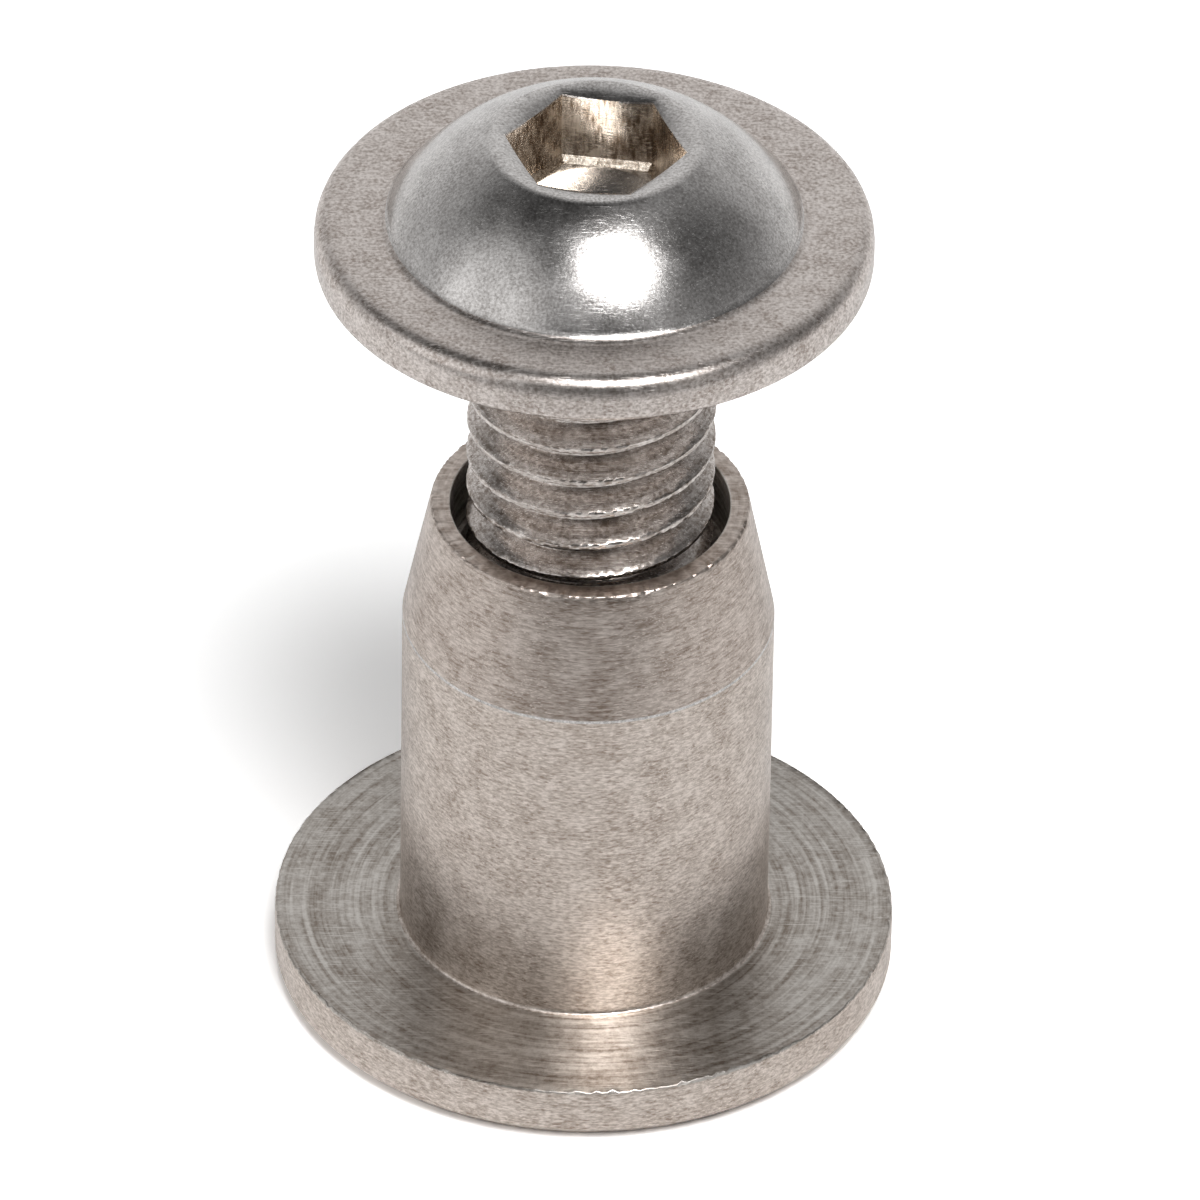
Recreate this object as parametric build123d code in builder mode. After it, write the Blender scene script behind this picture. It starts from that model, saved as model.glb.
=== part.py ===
from build123d import *
import os
from math import atan2, ceil, cos, radians, sin, sqrt, tan

# A binding barrel screw: a flanged barrel with a tapered mouth and a blind bore, and a flanged
# button-head screw that stands in its mouth. Both are turned about +Z, and the origin is the
# centre of the face that the barrel stands on.

# Thread of the screw: M8 coarse, right-hand
crest_radius = 3.95
thread_pitch = 1.25
crest_turn = -52.6           # direction of the crest at the tip, in degrees from +X
thread_clearance = 0.08      # between the crests and the barrel's bore

# Screw
screw_length = 12.0          # under the head to the tip
neck_length = 1.3            # bare shank under the head
tip_land = 0.1               # the chamfered tip ends this far inside the thread's root
seat_fillet = 0.3            # between the neck and the head
head_height = 4.5
collar_thickness = 1.47
collar_overhang = 2.2        # past the foot of the dome
collar_round = 0.4           # upper edge of the collar
collar_break = 0.15          # lower edge of the collar
dome_foot_radius = 6.6
dome_fillet = 0.18           # between the dome and the collar

# Key sockets, one in the screw's head and one in the barrel's foot
key_across_flats = 5.0
mouth_margin = 0.4           # how far the head's countersunk mouth reaches past the corners
socket_depth = 3.1           # from the head's top
socket_turn = 54.0           # direction of one corner, in degrees from +X
floor_bevel = 0.3            # round the foot of the socket's walls
floor_slope = 20.0           # of the shallow cone in the floor
foot_socket_depth = 2.3
foot_socket_chamfer = 0.3

# Barrel
counterbore_step = 0.42      # how far the mouth is opened past the bore
counterbore_depth = 2.2
entry_chamfer = 0.25         # where the counterbore meets the bore
rim_width = 0.62             # flat ring round the mouth
taper_rise = 0.88            # rim to shank, on the radius
taper_length = 4.3
flange_overhang = 4.05       # past the shank
flange_thickness = 2.0
flange_chamfer = 0.5         # lower edge
flange_break = 0.06          # upper edge
shank_fillet = 0.15          # between the shank and the flange
tip_gap = 0.3                # below the tip when the head is on the rim
drill_step = 0.62            # how much smaller the drilled hole is than the bore
drill_slope = 31.0           # of a 118 degree drill point
web_thickness = 1.42         # between the drill point and the key socket

# Where the screw stands
rest_lift = 9.5              # rim to head

# Sizes that follow
thread_depth = 0.6134 * thread_pitch
root_radius = crest_radius - thread_depth
neck_radius = crest_radius - thread_depth / 2
threaded_length = screw_length - neck_length
key_corner_radius = key_across_flats / sqrt(3)
mouth_radius = key_corner_radius + mouth_margin
floor_radius = key_across_flats / 2 - floor_bevel
collar_radius = dome_foot_radius + collar_overhang
bore_radius = crest_radius + thread_clearance
drill_radius = bore_radius - drill_step
drill_point = drill_radius * tan(radians(drill_slope))
counterbore_radius = bore_radius + counterbore_step
rim_radius = counterbore_radius + rim_width
shank_radius = rim_radius + taper_rise
flange_radius = shank_radius + flange_overhang

# Heights that follow
drill_tip_z = foot_socket_depth + web_thickness
bore_floor_z = drill_tip_z + drill_point
rim_z = bore_floor_z + tip_gap + screw_length
counterbore_z = rim_z - counterbore_depth
seat_z = rim_z + rest_lift
tip_z = seat_z - screw_length
thread_top_z = tip_z + threaded_length
collar_top_z = seat_z + collar_thickness
head_top_z = seat_z + head_height
socket_floor_z = head_top_z - socket_depth
cone_z = socket_floor_z - floor_bevel

# The dome is part of a ball centred on the axis, through the socket's mouth and the dome's foot
dome_rise = head_top_z - collar_top_z
ball_z = collar_top_z + (mouth_radius**2 + dome_rise**2 - dome_foot_radius**2) / (2 * dome_rise)
ball_radius = sqrt(dome_foot_radius**2 + (collar_top_z - ball_z) ** 2)
foot_angle = atan2(collar_top_z - ball_z, dome_foot_radius)
mouth_angle = atan2(head_top_z - ball_z, mouth_radius)
dome_angle = (foot_angle + mouth_angle) / 2

# One pitch of the thread's outline, as radius and height: flank, crest, flank and root
crest_width = thread_pitch / 8
flank_rise = thread_depth * tan(radians(30))
thread_outline = (
    (root_radius, 0),
    (crest_radius, flank_rise),
    (crest_radius, flank_rise + crest_width),
    (root_radius, 2 * flank_rise + crest_width),
    (root_radius, thread_pitch),
)

# The thread is wound as a coil that is longer than the rod, with the crest's direction at the
# tip set by crest_turn, and its ends are then turned off
coil_z = tip_z - thread_pitch - flank_rise - crest_width / 2
coil_turns = ceil(threaded_length / thread_pitch) + 2

os.makedirs("parts", exist_ok=True)


with BuildPart() as barrel_nut:
    with BuildSketch(Plane.XZ):
        with BuildLine():
            Polyline(
                (0, 0),
                (flange_radius - flange_chamfer, 0),
                (flange_radius, flange_chamfer),
                (flange_radius, flange_thickness - flange_break),
                (flange_radius - flange_break, flange_thickness),
                (shank_radius, flange_thickness),
                (shank_radius, rim_z - taper_length),
                (rim_radius, rim_z),
                (counterbore_radius, rim_z),
                (counterbore_radius, counterbore_z),
                (bore_radius + entry_chamfer, counterbore_z),
                (bore_radius, counterbore_z - entry_chamfer),
                (bore_radius, bore_floor_z),
                (drill_radius, bore_floor_z),
                (0, drill_tip_z),
                close=True,
            )
        make_face()
        fillet(vertices().sort_by_distance((shank_radius, flange_thickness))[0], radius=shank_fillet)
    revolve(axis=Axis.Z)
    with BuildSketch(Plane.XY):
        RegularPolygon(radius=key_corner_radius, side_count=6)
    extrude(amount=foot_socket_depth, mode=Mode.SUBTRACT)
    with Locations((0, 0, foot_socket_chamfer / 2)):
        Cone(
            bottom_radius=key_corner_radius + foot_socket_chamfer,
            top_radius=key_corner_radius,
            height=foot_socket_chamfer,
            mode=Mode.SUBTRACT,
        )
barrel_nut.part.label = "barrel_nut"

with BuildPart() as flange_screw:
    # Threaded rod: each turn is four strips ruled between helices, and the turns and two ends are
    # sewn to a closed shell. An end is a ramp from the axis to the root, and the step beside it.
    helices = [
        Edge.make_helix(thread_pitch, thread_pitch, radius, (0, 0, coil_z + height))
        for radius, height in thread_outline
    ]
    turn = [Face.make_surface_from_curves(lower, upper) for lower, upper in zip(helices, helices[1:])]
    ramp_foot, ramp_top = (0, 0, coil_z), (0, 0, coil_z + thread_pitch)
    ramp = Face.make_surface_from_curves(Edge.make_line(ramp_foot, ramp_top), helices[0])
    step_corners = [(radius, 0, coil_z + height) for radius, height in thread_outline]
    step = Face(Wire.make_polygon([ramp_foot, *step_corners, ramp_top]))
    strips = [
        strip.moved(Location((0, 0, count * thread_pitch)))
        for count in range(coil_turns)
        for strip in turn
    ]
    ends = [
        end.moved(Location((0, 0, height)))
        for height in (0, coil_turns * thread_pitch)
        for end in (ramp, step)
    ]
    add(Solid(Shell(strips + ends)).rotate(Axis.Z, crest_turn))
    # Chamfered tip, and the thread's end at the neck
    with BuildSketch(Plane.XZ):
        with BuildLine():
            Polyline(
                (0, tip_z),
                (root_radius - tip_land, tip_z),
                (crest_radius + tip_land, tip_z + thread_depth + 2 * tip_land),
                (crest_radius + tip_land, thread_top_z + neck_radius - crest_radius - tip_land),
                (neck_radius, thread_top_z),
                (0, thread_top_z),
                close=True,
            )
        make_face()
    revolve(axis=Axis.Z, mode=Mode.INTERSECT)
    # Neck, collar and dome
    with BuildSketch(Plane.XZ):
        with BuildLine():
            Polyline(
                (0, head_top_z),
                (0, thread_top_z),
                (neck_radius, thread_top_z),
                (neck_radius, seat_z),
                (collar_radius, seat_z),
                (collar_radius, collar_top_z),
                (dome_foot_radius, collar_top_z),
            )
            ThreePointArc(
                (dome_foot_radius, collar_top_z),
                (ball_radius * cos(dome_angle), ball_z + ball_radius * sin(dome_angle)),
                (mouth_radius, head_top_z),
            )
            Line((mouth_radius, head_top_z), (0, head_top_z))
        make_face()
        for corner, size in (
            ((neck_radius, seat_z), seat_fillet),
            ((collar_radius, seat_z), collar_break),
            ((collar_radius, collar_top_z), collar_round),
            ((dome_foot_radius, collar_top_z), dome_fillet),
        ):
            fillet(vertices().sort_by_distance(corner)[0], radius=size)
    revolve(axis=Axis.Z)
    # Key socket: a hexagon with a bevelled foot, a shallow cone in its floor and a countersunk mouth
    with BuildSketch(Plane.XY.offset(head_top_z)):
        RegularPolygon(radius=key_corner_radius, side_count=6, rotation=socket_turn)
    extrude(amount=-socket_depth, mode=Mode.SUBTRACT)
    with BuildSketch(Plane.XY.offset(socket_floor_z)):
        RegularPolygon(radius=key_corner_radius, side_count=6, rotation=socket_turn)
    extrude(amount=-floor_bevel, taper=45, mode=Mode.SUBTRACT)
    with BuildSketch(Plane.XZ):
        with BuildLine():
            Polyline(
                (0, cone_z),
                (floor_radius, cone_z),
                (0, cone_z - floor_radius * tan(radians(floor_slope))),
                close=True,
            )
        make_face()
        with BuildLine():
            Polyline((0, head_top_z), (mouth_radius, head_top_z), (0, head_top_z - mouth_radius), close=True)
        make_face()
    revolve(axis=Axis.Z, mode=Mode.SUBTRACT)
flange_screw.part.label = "flange_screw"

export_step(barrel_nut.part, "parts/barrel_nut.step")
export_step(flange_screw.part, "parts/flange_screw.step")
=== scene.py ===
import math

import bmesh
import bpy
import numpy as np
from mathutils import Euler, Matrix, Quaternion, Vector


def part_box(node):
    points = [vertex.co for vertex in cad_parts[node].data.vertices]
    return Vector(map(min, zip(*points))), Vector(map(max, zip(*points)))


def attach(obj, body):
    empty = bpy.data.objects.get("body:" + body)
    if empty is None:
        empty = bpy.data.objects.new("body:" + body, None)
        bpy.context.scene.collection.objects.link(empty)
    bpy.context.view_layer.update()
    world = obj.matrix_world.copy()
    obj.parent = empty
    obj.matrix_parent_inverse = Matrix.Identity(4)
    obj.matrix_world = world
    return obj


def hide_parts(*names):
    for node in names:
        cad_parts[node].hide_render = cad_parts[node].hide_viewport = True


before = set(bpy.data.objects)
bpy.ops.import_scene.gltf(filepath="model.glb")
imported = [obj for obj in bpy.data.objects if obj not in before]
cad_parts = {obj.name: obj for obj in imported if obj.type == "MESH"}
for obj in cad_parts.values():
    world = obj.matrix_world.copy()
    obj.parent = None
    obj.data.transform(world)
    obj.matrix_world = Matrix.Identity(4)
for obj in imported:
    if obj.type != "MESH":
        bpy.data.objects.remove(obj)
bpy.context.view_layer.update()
scene = bpy.context.scene
scene.view_settings.view_transform = "Standard"
mm = 0.001
print("frame loaded")


def linear(hexColour):  # sRGB hex to linear RGBA
    parts = np.array([int(hexColour[i : i + 2], 16) for i in (1, 3, 5)]) / 255
    return (*np.where(parts <= 0.04045, parts / 12.92, ((parts + 0.055) / 1.055) ** 2.4), 1.0)


def addNode(tree, kind, inputs=None, **settings):  # a node, its settings, and a value or a link for each input
    node = tree.nodes.new(kind)
    for name, value in settings.items():
        setattr(node, name, value)
    for socket, value in (inputs or {}).items():
        if isinstance(value, bpy.types.NodeSocket):
            tree.links.new(value, node.inputs[socket])
        else:
            node.inputs[socket].default_value = value
    return node


# camera

view = {
    "lens": 457.35,
    "distance": 486.6,
    "elevation": 36.87,
    "roll": 0.951,
    "aim": (0.365, 0.0, 14.171),
}
elevation = math.radians(view["elevation"])
cameraData = bpy.data.cameras.new("viewCamera")
cameraData.lens = view["lens"]
cameraData.sensor_width = 36
cameraData.clip_start, cameraData.clip_end = 0.05, 20
camera = bpy.data.objects.new("viewCamera", cameraData)
scene.collection.objects.link(camera)
towardCamera = np.array([0, -math.cos(elevation), math.sin(elevation)])
camera.location = (np.array(view["aim"]) + towardCamera * view["distance"]) * mm
camera.rotation_mode = "QUATERNION"
tilt = Euler((math.pi / 2 - elevation, 0, 0)).to_quaternion()
camera.rotation_quaternion = tilt @ Quaternion((0, 0, 1), math.radians(view["roll"]))
scene.camera = camera
print("camera set")

# studio: soft windows in the world light the metal, and the floor and the backdrop look white

studio = {
    "overhead": 0.17,  # light from straight above, then from the horizon
    "horizon": 0.6,
    "windows": [  # azimuth from the back towards the right, elevation, inner and outer half angle, light
        (159, 61, 4, 17, 14.0),  # main window, in front and above
        (-118, 30, 14, 36, 0.55),  # left
        (0, 12, 25, 60, 0.15),  # back
        (0, 40, 10, 34, 0.2),
        (-178, 42, 6, 30, 0.12),  # front
        (180, 10, 14, 42, -0.42),  # the dark room behind the camera
        (95, 25, 18, 42, -0.22),  # a dark card on the right
        (-85, 66, 20, 45, -0.16),
    ],
    "floor": 0.79,  # how white the paper is to stray light, to the metal, and to the camera
    "floorMirrored": 0.95,
    "floorShown": 1.65,
    "floorFade": (42, 95),  # the paper is less lit towards the camera, from and to these distances
    "floorSize": 1.6,
}

world = bpy.data.worlds.new("studioWorld")
scene.world = world
world.use_nodes = True
sky = world.node_tree
sky.nodes.clear()
direction = addNode(sky, "ShaderNodeTexCoord").outputs["Generated"]
height = addNode(sky, "ShaderNodeSeparateXYZ", {"Vector": direction}).outputs["Z"]
light = addNode(
    sky,
    "ShaderNodeMapRange",
    {"Value": height, "From Min": 0.0, "From Max": 1.0, "To Min": studio["horizon"], "To Max": studio["overhead"]},
).outputs["Result"]
for azimuth, rise, inner, outer, strength in studio["windows"]:
    a, e = math.radians(azimuth), math.radians(rise)
    centre = (math.sin(a) * math.cos(e), math.cos(a) * math.cos(e), math.sin(e))
    facing = addNode(sky, "ShaderNodeVectorMath", {0: direction, 1: centre}, operation="DOT_PRODUCT")
    pane = addNode(
        sky,
        "ShaderNodeMapRange",
        {
            "Value": facing.outputs["Value"],
            "From Min": math.cos(math.radians(outer)),
            "From Max": math.cos(math.radians(inner)),
            "To Min": 0.0,
            "To Max": strength,
        },
        interpolation_type="SMOOTHSTEP",
    )
    light = addNode(sky, "ShaderNodeMath", {0: light, 1: pane.outputs["Result"]}, operation="ADD").outputs[0]
light = addNode(sky, "ShaderNodeMath", {0: light, 1: 0.03}, operation="MAXIMUM").outputs[0]
lit = addNode(sky, "ShaderNodeBackground", {"Color": linear("#FFFFFF"), "Strength": light})
white = addNode(sky, "ShaderNodeBackground", {"Color": (1, 1, 1, 1), "Strength": 1.0})
seen = addNode(sky, "ShaderNodeLightPath").outputs["Is Camera Ray"]
sides = addNode(sky, "ShaderNodeMixShader", {0: seen, 1: lit.outputs[0], 2: white.outputs[0]})
addNode(sky, "ShaderNodeOutputWorld", {"Surface": sides.outputs[0]})

floorMaterial = bpy.data.materials.new("whitePaperFloor")  # matt white paper, at its brightest to the camera
floorMaterial.use_nodes = True
floorTree = floorMaterial.node_tree
floorTree.nodes.clear()
rays = addNode(floorTree, "ShaderNodeLightPath").outputs
shown = addNode(floorTree, "ShaderNodeMath", {0: rays["Is Camera Ray"], 1: studio["floorShown"]}, operation="MULTIPLY")
place = addNode(floorTree, "ShaderNodeTexCoord").outputs["Object"]
depth = addNode(floorTree, "ShaderNodeSeparateXYZ", {"Vector": place}).outputs["Y"]
near, far = (-distance * mm for distance in studio["floorFade"])
reach = addNode(
    floorTree,
    "ShaderNodeMapRange",
    {"Value": depth, "From Min": far, "From Max": near, "To Min": 0.3, "To Max": studio["floorMirrored"]},
)
mirrored = addNode(
    floorTree, "ShaderNodeMath", {0: rays["Is Glossy Ray"], 1: reach.outputs["Result"]}, operation="MULTIPLY"
)
stray = addNode(floorTree, "ShaderNodeMath", {0: 1.0, 1: rays["Is Glossy Ray"]}, operation="SUBTRACT")
strayLight = addNode(floorTree, "ShaderNodeMath", {0: stray.outputs[0], 1: studio["floor"]}, operation="MULTIPLY")
white = addNode(floorTree, "ShaderNodeMath", {0: shown.outputs[0], 1: mirrored.outputs[0]}, operation="MAXIMUM")
white = addNode(floorTree, "ShaderNodeMath", {0: white.outputs[0], 1: strayLight.outputs[0]}, operation="MAXIMUM")
paper = addNode(floorTree, "ShaderNodeBsdfDiffuse", {"Color": white.outputs[0]})
addNode(floorTree, "ShaderNodeOutputMaterial", {"Surface": paper.outputs[0]})
floorMesh = bpy.data.meshes.new("floor")
half = studio["floorSize"] / 2
floorMesh.from_pydata([(-half, -half, 0), (half, -half, 0), (half, half, 0), (-half, half, 0)], [], [(0, 1, 2, 3)])
floorMesh.materials.append(floorMaterial)
floor = bpy.data.objects.new("floor", floorMesh)
scene.collection.objects.link(floor)
print("studio set")

# surfaces: every piece is rows of points round the Z axis, from the lower pole over the outside
# to the upper pole, worked out in mm

columns = 360  # points in a row, with a whole number of them in a sixth of a turn
turnAngles = np.arange(columns) * 2 * math.pi / columns
rng = np.random.default_rng(11)


# A profile through corners (radius, height, round). A rounded corner is the quadratic curve
# between the points that lie its round before and after it. A long straight run gets two points
# near each end, so that its shading stays flat beside a worn edge.
def softened(corners, steps=7, holds=(0.03, 0.25), longRun=0.7):
    places = np.array([corner[:2] for corner in corners], float)
    path = [places[:1]]
    for before, corner, after, (_, _, size) in zip(places, places[1:], places[2:], corners[1:-1]):
        into, out = before - corner, after - corner
        reach, leave = np.hypot(*into), np.hypot(*out)
        t = np.linspace(0, 1, steps if size else 1)[:, None]
        start, end = corner + into / reach * size, corner + out / leave * size
        curve = (1 - t) ** 2 * start + 2 * t * (1 - t) * corner + t**2 * end if size else corner[None]
        if reach > longRun:
            curve = np.vstack([[start + into / reach * hold for hold in holds[::-1]], curve])
        if leave > longRun:
            curve = np.vstack([curve, [end + out / leave * hold for hold in holds]])
        path.append(curve)
    return np.vstack([*path, places[-1:]])


def spun(profile):  # the same radius and height all the way round
    return [np.repeat(profile[:, axis : axis + 1], columns, 1) for axis in (0, 1)]


# A hexagon socket's rows, as radius and depth below its mouth. The countersunk lip falls with the
# square of the way from the mouth's circle to the walls, the walls stand at the flat's distance over the
# cosine of the angle from the flat's middle, and a bevel leads to a shallow cone.
def socketRows(size):
    flat = np.mod(turnAngles - math.radians(size["turn"]), math.pi / 3) - math.pi / 6
    wall = size["acrossFlats"] / 2 / np.cos(flat)
    lip = size["mouthRadius"] - wall
    fall = lip * math.tan(math.radians(size["lipSlope"]))
    depth = np.full(columns, size["depth"])
    foot = wall * (1 - 2 * size["bevel"] / size["acrossFlats"])
    cone = size["floorRadius"]
    rows = [(np.full(columns, size["mouthRadius"]), 0 * lip)]
    rows += [(size["mouthRadius"] - lip * t, fall * t**2) for t in (0.15, 0.3, 0.5, 0.7, 0.85, 1.0)]
    rows += [(wall, fall + (depth - fall) * t) for t in (0.03, 0.25, 0.5, 0.75, 0.97, 1.0)]
    rows += [(wall + (foot - wall) * t, depth + size["bevel"] * t) for t in (0.15, 0.85, 1.0)]
    for t in (1.0, 0.97, 0.8, 0.6, 0.4, 0.2, 0.05, 0.0):
        drop = (1 - t) * cone * math.tan(math.radians(size["floorSlope"]))
        rows.append((np.full(columns, cone * t), depth + size["bevel"] + drop))
    return [np.array(part) for part in zip(*rows)]


# A thread's rows. Along the axis its outline repeats in each pitch, and the height of each point
# rises by one pitch in a turn, so the last column joins the row one outline further on. Heights
# are held between the thread's two ends, where limit(height) gives the radius.
def threadRows(size, outline, limit):
    turns = math.ceil((size["top"] - size["foot"]) / size["pitch"]) + 3
    first = size["crest"] - size["pitch"] * (math.ceil((size["crest"] - size["foot"]) / size["pitch"]) + 1.5)
    rise = (first + size["pitch"] * (np.arange(turns)[:, None] + outline[:, 0] + 0.5)).reshape(-1, 1)
    radii = np.tile(outline[:, 1], turns)[:, None] + 0 * turnAngles
    heights = np.clip(rise + size["pitch"] * turnAngles / (2 * math.pi), size["foot"], size["top"])
    return limit(radii, heights), heights


# Points and faces of rows. Row after row, a quad joins each point to the next in its row and in
# the row above. lead is how many rows further on the last column meets the first.
def woven(radii, heights, lead=0, inward=False):
    rows = len(radii)
    index = np.arange(rows * columns).reshape(rows, columns)
    after = np.column_stack([index[:, 1:], np.full(rows, -1)])
    after[: rows - lead, -1] = index[lead:, 0]
    quads = np.stack([index[:-1], after[:-1], after[1:], index[1:]], -1).reshape(-1, 4)
    quads = quads[(quads >= 0).all(1)]
    points = np.stack([radii * np.cos(turnAngles), radii * np.sin(turnAngles), heights], -1)
    return points.reshape(-1, 3), quads[:, ::-1] if inward else quads


# One closed mesh of several blocks, whose shared rows are welded. pick(radius, height) gives
# each face its material.
def piece(name, blocks, materials, pick):
    starts = np.cumsum([0] + [len(points) for points, _ in blocks])
    points = np.vstack([points for points, _ in blocks]) * mm
    quads = np.vstack([quads + start for (_, quads), start in zip(blocks, starts)])
    mesh = bpy.data.meshes.new(name)
    mesh.from_pydata(points.tolist(), [], quads.tolist())
    work = bmesh.new()
    work.from_mesh(mesh)
    bmesh.ops.remove_doubles(work, verts=work.verts, dist=1e-7)
    bmesh.ops.dissolve_degenerate(work, edges=work.edges, dist=1e-7)
    work.to_mesh(mesh)
    work.free()
    for material in materials:
        mesh.materials.append(material)
    centres = np.zeros(len(mesh.polygons) * 3)
    mesh.polygons.foreach_get("center", centres)
    x, y, z = centres.reshape(-1, 3).T / mm
    mesh.polygons.foreach_set("material_index", pick(np.hypot(x, y), z).astype(np.int32))
    mesh.polygons.foreach_set("use_smooth", np.ones(len(mesh.polygons), bool))
    mesh.set_sharp_from_angle(angle=math.radians(32))
    made = bpy.data.objects.new(name, mesh)
    scene.collection.objects.link(made)
    print(name, len(mesh.polygons), "faces")
    return made


def ripple(low, high):  # a seamless random wave round the axis, from low to high waves in a turn, about 1 high
    waves = np.arange(low, high)
    size, phase = rng.normal(size=(2, len(waves)))
    wave = (size[:, None] * np.cos(waves[:, None] * turnAngles + 6.3 * phase[:, None])).sum(0)
    return wave / wave.std()


def nicked(radii, heights, radius, height, reach, depth):  # wears an edge back, more in some places than others
    near = np.exp(-(((radii - radius) ** 2 + (heights - height) ** 2) / reach**2))
    bite = depth * np.clip(0.5 + 0.35 * ripple(3, 12) + 0.5 * ripple(40, 170), 0, 1.6) * near
    return radii - bite, heights - bite * np.sign(height - heights.mean())


# materials

# Stainless steel is a warm grey metal. What its making left on it is in layers, each with a size
# in mm: a mottle of thinner and thicker oxide, a grain, rings from the lathe, and fine scratches.
def steel(name, look):
    material = bpy.data.materials.new(name)
    material.use_nodes = True
    tree = material.node_tree
    tree.nodes.clear()
    place = addNode(tree, "ShaderNodeTexCoord").outputs["Object"]

    def scaled(vector, factors):
        return addNode(
            tree, "ShaderNodeVectorMath", {0: vector, 1: factors}, operation="MULTIPLY"
        ).outputs["Vector"]

    def noise(vector, detail=3.0):
        return addNode(
            tree, "ShaderNodeTexNoise", {"Vector": vector, "Scale": 1.0, "Detail": detail, "Roughness": 0.6}
        ).outputs["Fac"]

    def ranged(value, low, high, toLow, toHigh):
        return addNode(
            tree,
            "ShaderNodeMapRange",
            {"Value": value, "From Min": low, "From Max": high, "To Min": toLow, "To Max": toHigh},
        ).outputs["Result"]

    def maths(operation, first, second):
        return addNode(tree, "ShaderNodeMath", {0: first, 1: second}, operation=operation).outputs[0]

    def perMm(size):
        return (1 / (size * mm),) * 3

    mottle = noise(scaled(place, perMm(look["mottle"])))
    grain = noise(scaled(place, [1 / (size * mm) for size in look["grain"]]), 2.0)
    # Rings: noise over the direction round the axis and the way along the profile
    parts = addNode(tree, "ShaderNodeSeparateXYZ", {"Vector": place})
    flat = scaled(place, (1, 1, 0))
    radius = addNode(tree, "ShaderNodeVectorMath", {0: flat}, operation="LENGTH").outputs["Value"]
    around = addNode(tree, "ShaderNodeVectorMath", {0: flat}, operation="NORMALIZE").outputs["Vector"]
    way = maths("MULTIPLY", maths("SUBTRACT", radius, parts.outputs["Z"]), 1 / (look["ring"] * mm))
    rise = addNode(tree, "ShaderNodeCombineXYZ", {"Z": way}).outputs["Vector"]
    ringPlace = addNode(
        tree, "ShaderNodeVectorMath", {0: scaled(around, (look["ringArc"],) * 3), 1: rise}, operation="ADD"
    ).outputs["Vector"]
    rings = noise(ringPlace, 2.0)
    # Scratches: noise drawn out along three directions, of which only the peaks count
    marks = 0.0
    for turn in look["scratchTurns"]:
        drawn = addNode(
            tree,
            "ShaderNodeMapping",
            {"Vector": place, "Rotation": turn, "Scale": (1000, 20000, 20000)},
        ).outputs["Vector"]
        streak = ranged(noise(drawn, 1.0), 0.65, 0.75, 0.0, 1.0)
        marks = maths("ADD", marks, streak)
    tone = maths(
        "ADD",
        maths("MULTIPLY", maths("SUBTRACT", mottle, 0.5), look["mottleTone"]),
        maths("MULTIPLY", maths("SUBTRACT", grain, 0.5), look["grainTone"]),
    )
    tone = maths("ADD", tone, maths("MULTIPLY", maths("SUBTRACT", rings, 0.5), look["ringTone"]))
    tone = maths("ADD", maths("ADD", tone, maths("MULTIPLY", marks, look["scratchTone"])), 0.5)
    colour = addNode(
        tree, "ShaderNodeMix", {"Factor": tone, 6: linear(look["dark"]), 7: linear(look["light"])}, data_type="RGBA"
    ).outputs[2]
    gloss = maths("MULTIPLY", maths("SUBTRACT", mottle, 0.5), look["spread"])
    gloss = maths("ADD", maths("ADD", gloss, maths("MULTIPLY", marks, 0.06)), look["roughness"])
    relief = maths(
        "ADD",
        maths("MULTIPLY", rings, look["ringDepth"] * mm),
        maths("MULTIPLY", grain, look["grainDepth"] * mm),
    )
    relief = maths("SUBTRACT", relief, maths("MULTIPLY", marks, look["scratchDepth"] * mm))
    bump = addNode(tree, "ShaderNodeBump", {"Height": relief, "Strength": 1.0, "Distance": 1.0})
    shader = addNode(
        tree,
        "ShaderNodeBsdfPrincipled",
        {
            "Base Color": colour,
            "Metallic": 1.0,
            "Roughness": gloss,
            "Anisotropic": look["drawn"],
            "Anisotropic Rotation": 0.25,  # across the rings
            "Tangent": addNode(tree, "ShaderNodeTangent", direction_type="RADIAL", axis="Z").outputs[0],
            "Normal": bump.outputs["Normal"],
        },
    )
    addNode(tree, "ShaderNodeOutputMaterial", {"Surface": shader.outputs[0]})
    return material


base = {
    "light": "#E8DED6",
    "dark": "#9B8C80",
    "roughness": 0.36,
    "spread": 0.16,
    "mottle": 0.9,
    "mottleTone": 1.0,
    "grain": (0.22, 0.22, 0.08),
    "grainTone": 2.1,
    "grainDepth": 0.005,
    "ring": 0.12,
    "ringArc": 1.5,
    "ringTone": 0.0,
    "ringDepth": 0.0,
    "drawn": 0.0,
    "scratchTurns": [(0.3, 0.5, 0.2), (1.2, -0.7, 2.1), (2.3, 1.2, 0.9), (0.4, 0.2, 1.4)],
    "scratchTone": 0.6,
    "scratchDepth": 0.0016,
}
tumbled = steel("tumbledStainless", base)  # satin from the barrel finisher, with cloudy fine marks
turned = steel(  # bare lathe finish: close rings, which spread light across them
    "turnedStainless",
    base
    | {
        "light": "#DCD7D1",
        "dark": "#8C8177",
        "roughness": 0.34,
        "drawn": 0.75,
        "grain": (0.16, 0.16, 0.16),
        "grainTone": 1.2,
        "ring": 0.16,
        "ringTone": 1.8,
        "ringDepth": 0.007,
    },
)
skimmed = steel(  # a finer cut, tumbled after it
    "skimmedStainless",
    base
    | {
        "light": "#E0D5CD",
        "dark": "#8E7E72",
        "roughness": 0.33,
        "grain": (0.3, 0.3, 0.07),
        "grainTone": 1.7,
        "grainDepth": 0.004,
        "ring": 0.11,
        "ringTone": 0.7,
        "ringDepth": 0.0025,
    },
)
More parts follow.
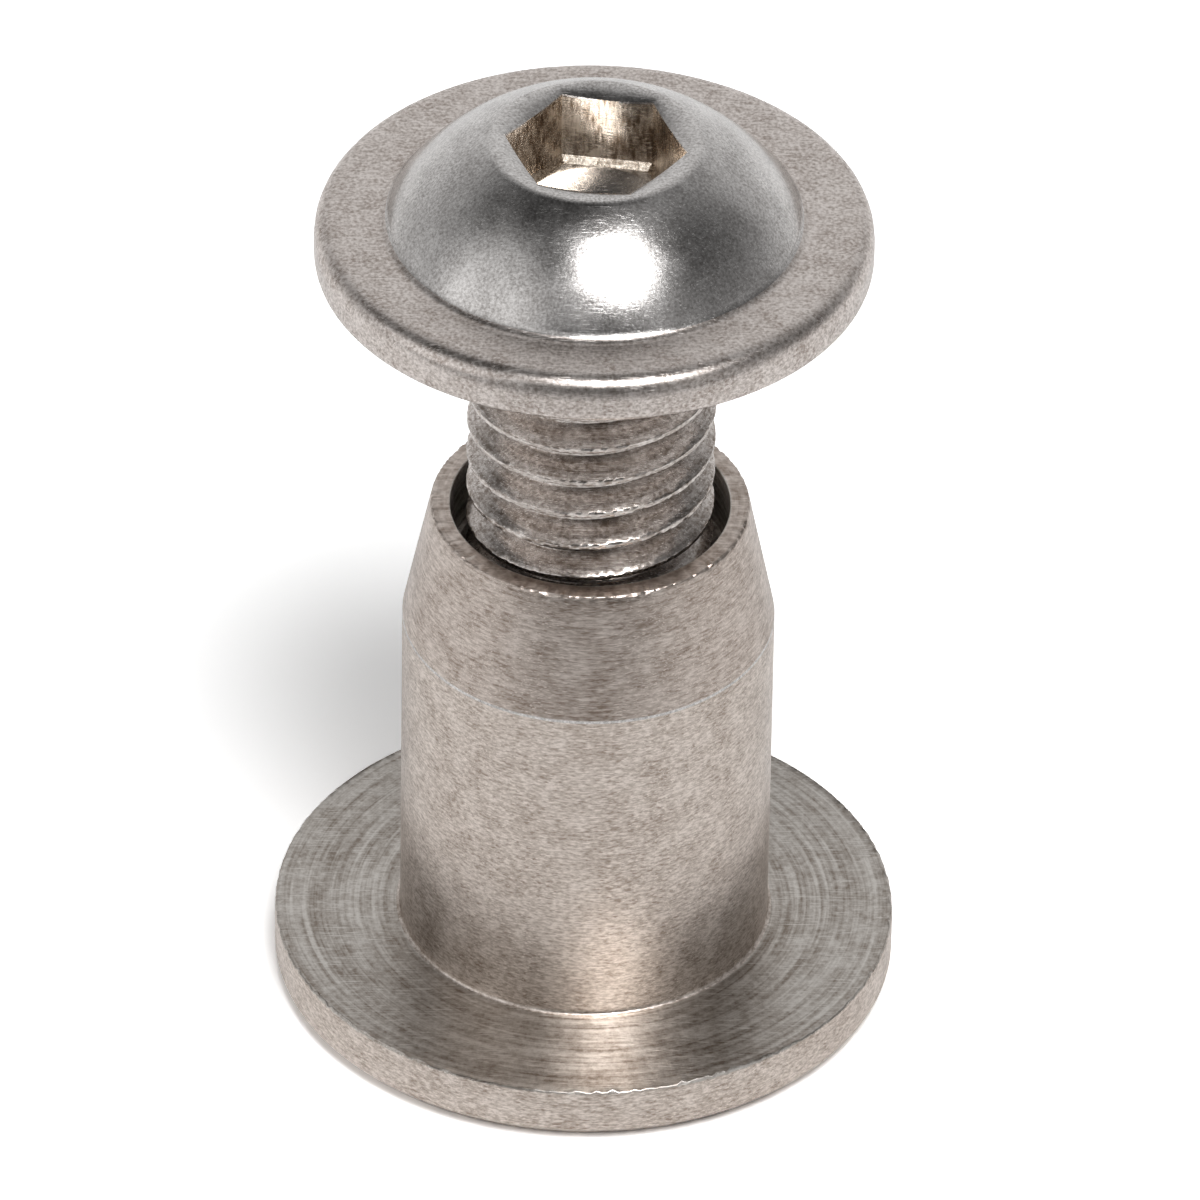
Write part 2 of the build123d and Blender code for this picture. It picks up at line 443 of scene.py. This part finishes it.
# Its lighter colour also serves as a painted highlight: a bright line round the barrel taper's foot.
headedAndPaintedHighlight = steel(  # struck in a polished die: bright, with a fine speckle
    "headedStainlessAndPaintedHighlight",
    base
    | {
        "light": "#E9E6E4",
        "dark": "#A19D9A",
        "roughness": 0.21,
        "spread": 0.14,
        "mottle": 1.2,
        "grain": (0.09, 0.09, 0.09),
        "grainDepth": 0.0028,
        "grainTone": 2.2,
        "scratchDepth": 0.0006,
        "scratchTone": 0.3,
    },
)
pressed = steel(  # punched and trimmed: duller
    "pressedStainless",
    base | {"light": "#EEE6E1", "dark": "#A2968E", "roughness": 0.29, "grain": (0.12, 0.12, 0.1), "grainTone": 2.4},
)
rolled = steel(  # rolled thread: smooth flanks with lines along the turns
    "rolledStainless",
    base
    | {
        "light": "#ECE5E0",
        "dark": "#8F8278",
        "roughness": 0.22,
        "grain": (0.16, 0.16, 0.08),
        "grainDepth": 0.003,
        "scratchDepth": 0.0005,
        "ring": 0.1,
        "ringArc": 3.0,
        "ringTone": 1.3,
        "ringDepth": 0.002,
    },
)
keyway = steel(  # broached key socket: brown in its corners, with marks down its walls
    "broachedStainless",
    base
    | {
        "light": "#F5E9DA",
        "dark": "#7F6B57",
        "roughness": 0.26,
        "mottle": 1.0,
        "mottleTone": 2.8,
        "grain": (0.1, 0.1, 0.6),
    },
)
print("materials made")

# barrel

barrel = {
    "flange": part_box("barrel_nut")[1][0] / mm,
    "flangeTop": 2.0,
    "footBevel": 0.5,
    "shank": 5.95,
    "taperFoot": 13.769,
    "rim": 5.07,
    "top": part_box("barrel_nut")[1][2] / mm,
    "counterbore": 4.45,
    "counterboreFloor": 15.869,
    "entry": 4.28,
    "drill": 3.41,
    "boreFloor": 5.769,
    "drillTip": 3.72,
    "key": {
        "acrossFlats": 5.0,
        "turn": 0.0,
        "lipSlope": 45.0,
        "mouthRadius": 3.187,
        "depth": 2.3,
        "bevel": 0.0,
        "floorRadius": 2.3,
        "floorSlope": 0.0,
    },
    "thread": {"pitch": 1.25, "foot": 5.95, "top": 15.869, "crest": 6.877},
}
footRadii, footDepths = (rows[::-1] for rows in socketRows(barrel["key"]))
outside = softened(
    [
        (barrel["key"]["mouthRadius"], 0, 0),
        (barrel["flange"] - barrel["footBevel"], 0, 0.06),
        (barrel["flange"], barrel["footBevel"], 0.08),
        (barrel["flange"], barrel["flangeTop"], 0.09),
        (barrel["shank"], barrel["flangeTop"], 0.17),
        (barrel["shank"], barrel["taperFoot"], 0.05),
        (barrel["rim"], barrel["top"], 0.07),
        (barrel["counterbore"], barrel["top"], 0.05),
        (barrel["counterbore"], barrel["counterboreFloor"], 0.03),
        (barrel["entry"], barrel["counterboreFloor"], 0),
    ]
)
radii, heights = spun(outside)
radii, heights = nicked(radii, heights, barrel["flange"], barrel["flangeTop"], 0.1, 0.06)
radii, heights = nicked(radii, heights, barrel["rim"], barrel["top"], 0.09, 0.035)
internalOutline = np.array(
    [
        (-0.5, 4.03),
        (-0.43, 4.02),
        (-0.40, 3.97),
        (-0.25, 3.72),
        (-0.12, 3.45),
        (-0.09, 3.41),
        (0.0, 3.41),
        (0.09, 3.41),
        (0.12, 3.45),
        (0.25, 3.72),
        (0.40, 3.97),
        (0.43, 4.02),
    ]
)


def internalLimit(radii, heights):  # the entry's 45 degree cone at the top, the tap's run-out at the foot
    entry = barrel["entry"] - (barrel["counterboreFloor"] - heights)
    runOut = barrel["drill"] + 1.5 * (heights - barrel["thread"]["foot"])
    return np.minimum(np.maximum(radii, entry), np.maximum(runOut, barrel["drill"]))


bore = softened(
    [
        (barrel["drill"], barrel["thread"]["foot"], 0),
        (barrel["drill"], barrel["boreFloor"], 0),
        (0, barrel["drillTip"], 0),
    ]
)
barrelBody = piece(
    "barrelBody",
    [
        woven(footRadii, footDepths),
        woven(radii, heights),
        woven(*threadRows(barrel["thread"], internalOutline, internalLimit), lead=len(internalOutline), inward=True),
        woven(*spun(bore)),
    ],
    [tumbled, turned, skimmed, headedAndPaintedHighlight],
    lambda r, z: np.select(
        [
            (r > barrel["shank"] + 0.1) & (z > 1.95),
            (r < 4.5) & (z > 0.01),
            # painted highlight: faces within 0.06 mm of the taper's foot take the lighter, glossier headed finish, a
            # bright line painted where this edge catches the light
            abs(z - barrel["taperFoot"]) < 0.06,
            z > barrel["taperFoot"],
        ],
        [1, 1, 3, 2],
        0,
    ),
)
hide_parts("barrel_nut")
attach(barrelBody, "barrel")

# screw

screw = {
    "tip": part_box("flange_screw")[0][2] / mm,
    "top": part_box("flange_screw")[1][2] / mm,
    "collar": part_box("flange_screw")[1][0] / mm,
    "crest": 3.95,
    "root": 3.183,
    "neck": 3.567,
    "threadTop": 26.269,
    "seat": 27.569,
    "collarTop": 29.12,
    "domeFoot": 6.6,
    "key": {
        "acrossFlats": 5.0,
        "turn": 52.0,
        "lipSlope": 13.0,
        "mouthRadius": 3.287,
        "depth": 2.4,
        "bevel": 0.2,
        "floorRadius": 2.3,
        "floorSlope": 20.0,
    },
}
screw["thread"] = {"pitch": 1.25, "foot": screw["tip"], "top": screw["threadTop"], "crest": 15.752}
threadOutline = np.array(
    [
        (-0.5, 3.183),
        (-0.435, 3.19),
        (-0.40, 3.225),
        (-0.30, 3.44),
        (-0.18, 3.70),
        (-0.085, 3.905),
        (-0.055, 3.943),
        (0.0, 3.95),
        (0.055, 3.943),
        (0.085, 3.905),
        (0.18, 3.70),
        (0.30, 3.44),
        (0.40, 3.225),
        (0.435, 3.19),
    ]
)


# The tip's chamfer, the end at the neck, the root rising to the neck, and worn crests: where the
# radius is near the crest's, the sum of a few waves, shifted from row to row, is taken off.
def threadLimit(radii, heights):
    row = np.arange(len(radii))[:, None]
    wave = sum(np.cos(count * turnAngles + row * 2.1 * count) for count in (23, 41, 67, 90, 113, 149))
    worn = 0.015 * np.clip(0.4 + 0.4 * wave, 0, 1.5) * np.clip((radii - 3.87) / 0.07, 0, 1)
    radii = radii - worn
    chamfer = screw["root"] - 0.1 + heights - screw["tip"]
    shoulder = screw["neck"] + screw["threadTop"] - heights
    share = np.clip(1 - (screw["threadTop"] - heights) / 1.1, 0, 1)
    runOut = screw["root"] + (screw["neck"] - screw["root"]) * share**1.5
    return np.minimum(np.minimum(np.maximum(radii, runOut), chamfer), shoulder)


# The dome is part of a ball centred on the axis, through its foot and the socket's mouth
domeRise = screw["top"] - screw["collarTop"]
mouth, foot = screw["key"]["mouthRadius"], screw["domeFoot"]
ballCentre = screw["collarTop"] + (mouth**2 + domeRise**2 - foot**2) / (2 * domeRise)
ball = math.hypot(foot, screw["collarTop"] - ballCentre)
arc = np.linspace(
    math.atan2(screw["collarTop"] - ballCentre, foot), math.atan2(screw["top"] - ballCentre, mouth), 26
)
dome = np.column_stack([ball * np.cos(arc), ballCentre + ball * np.sin(arc)])
head = softened(
    [
        (screw["neck"], screw["threadTop"], 0),
        (screw["neck"], screw["seat"], 0.3),
        (screw["collar"], screw["seat"], 0.35),
        (screw["collar"], screw["collarTop"], 0.7),
        (screw["domeFoot"], screw["collarTop"], 0.26),
        *[(r, z, 0) for r, z in dome[1:]],
    ]
)
radii, heights = spun(head)
keyRadii, keyDepths = socketRows(screw["key"])
tip = softened([(0, screw["tip"], 0), (screw["root"] - 0.1, screw["tip"], 0)])
screwBody = piece(
    "screwBody",
    [
        woven(*spun(tip)),
        woven(*threadRows(screw["thread"], threadOutline, threadLimit), lead=len(threadOutline)),
        woven(radii, heights),
        woven(keyRadii, screw["top"] - keyDepths),
    ],
    [headedAndPaintedHighlight, pressed, rolled, keyway],
    lambda r, z: np.select(
        [
            z < screw["seat"] - 0.01,
            (z < screw["collarTop"] + 0.1) & (r > 6.4),
            (r < 2.89) & (abs(z - screw["top"] + 1.4) < 1.19),
        ],
        [2, 1, 3],
        0,
    ),
)
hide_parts("flange_screw")
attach(screwBody, "screw")
print("pieces made")
